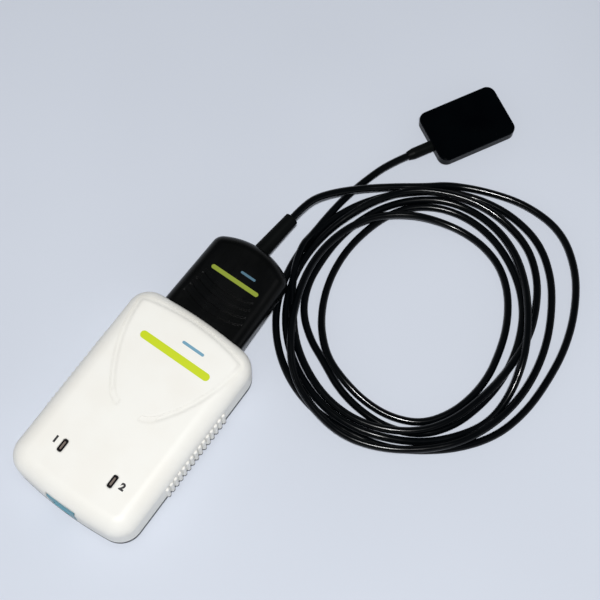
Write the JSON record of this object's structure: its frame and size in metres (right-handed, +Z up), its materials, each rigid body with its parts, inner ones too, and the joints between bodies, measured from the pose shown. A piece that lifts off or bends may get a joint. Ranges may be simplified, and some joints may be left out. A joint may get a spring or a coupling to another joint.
{
  "type": "dental x-ray sensor",
  "caption": "Flat intraoral x-ray sensor on a loosely coiled thin cable, whose plug slides into a white interface case with grip ribs.",
  "frame": {"origin": "middle of the interface case's flat underside", "axes": "+Y along the case towards the plug, +Z up, +X across the case"},
  "size_m": [0.1503, 0.2422, 0.02],
  "materials": {
    "case_plastic": "warm white, glossy, smooth",
    "blank_label": "blank satin film",
    "screw_steel": "plain zinc",
    "circuit_board": "green solder mask",
    "chip_plastic": "black moulded epoxy",
    "bright_can": "drawn can, satin",
    "light_source": "clear lens",
    "smoked_window": "smoked, polished",
    "contact_steel": "plated, bright",
    "port_insulator": "black nylon",
    "gold_contacts": "gold flash",
    "teal_plastic": "teal, satin gloss",
    "dark_plastic": "black glass-filled nylon",
    "plug_plastic": "near-black, satin gloss",
    "relief_rubber": "black elastomer, satin",
    "cable_jacket": "black jacket, glossy",
    "wire_jackets": "thin coloured insulation",
    "sensor_plastic": "black, glossy, hermetic",
    "foam_pad": "soft closed-cell pad",
    "silicon": "polished die",
    "fibre_glass": "fused fibre plate",
    "scintillator_coating": "fine white coating"
  },
  "bodies": {
    "case": {"top_cover": "case_plastic", "bottom_cover": "case_plastic", "rating_plate": "blank_label", "case_screws": "screw_steel", "main_board": "circuit_board", "image_processor": "chip_plastic", "port_controller": "chip_plastic", "voltage_regulator": "chip_plastic", "clock_crystal": "bright_can", "board_capacitors": "bright_can", "status_leds": "light_source", "sensor_window": "smoked_window", "power_window": "smoked_window", "usb_shell": "contact_steel", "usb_insulator": "port_insulator", "usb_contacts": "gold_contacts", "port_bezel": "teal_plastic", "socket_housing": "dark_plastic", "socket_springs": "gold_contacts"},
    "plug": {"plug_top_shell": "plug_plastic", "plug_bottom_shell": "plug_plastic", "plug_screws": "screw_steel", "plug_board": "circuit_board", "plug_pads": "gold_contacts", "cable_clamp": "dark_plastic", "strain_relief": "relief_rubber", "plug_cable_end": "cable_jacket", "plug_wires": "wire_jackets", "sensor_back_shell": "sensor_plastic", "sensor_face": "sensor_plastic", "backing_pad": "foam_pad", "carrier_board": "circuit_board", "imaging_chip": "silicon", "fibre_optic_plate": "fibre_glass", "scintillator": "scintillator_coating", "cable_anchor": "dark_plastic", "sensor_boot": "relief_rubber", "sensor_cable_end": "cable_jacket", "sensor_wires": "wire_jackets", "plug_lead": "cable_jacket", "cable_coil": "cable_jacket", "sensor_lead": "cable_jacket"}
  },
  "joints": [
    {"name": "plug_slide", "type": "slide", "parent": "case", "child": "plug", "axis": [0, 1, 0], "range_m": [0, 0.02]}
  ]
}
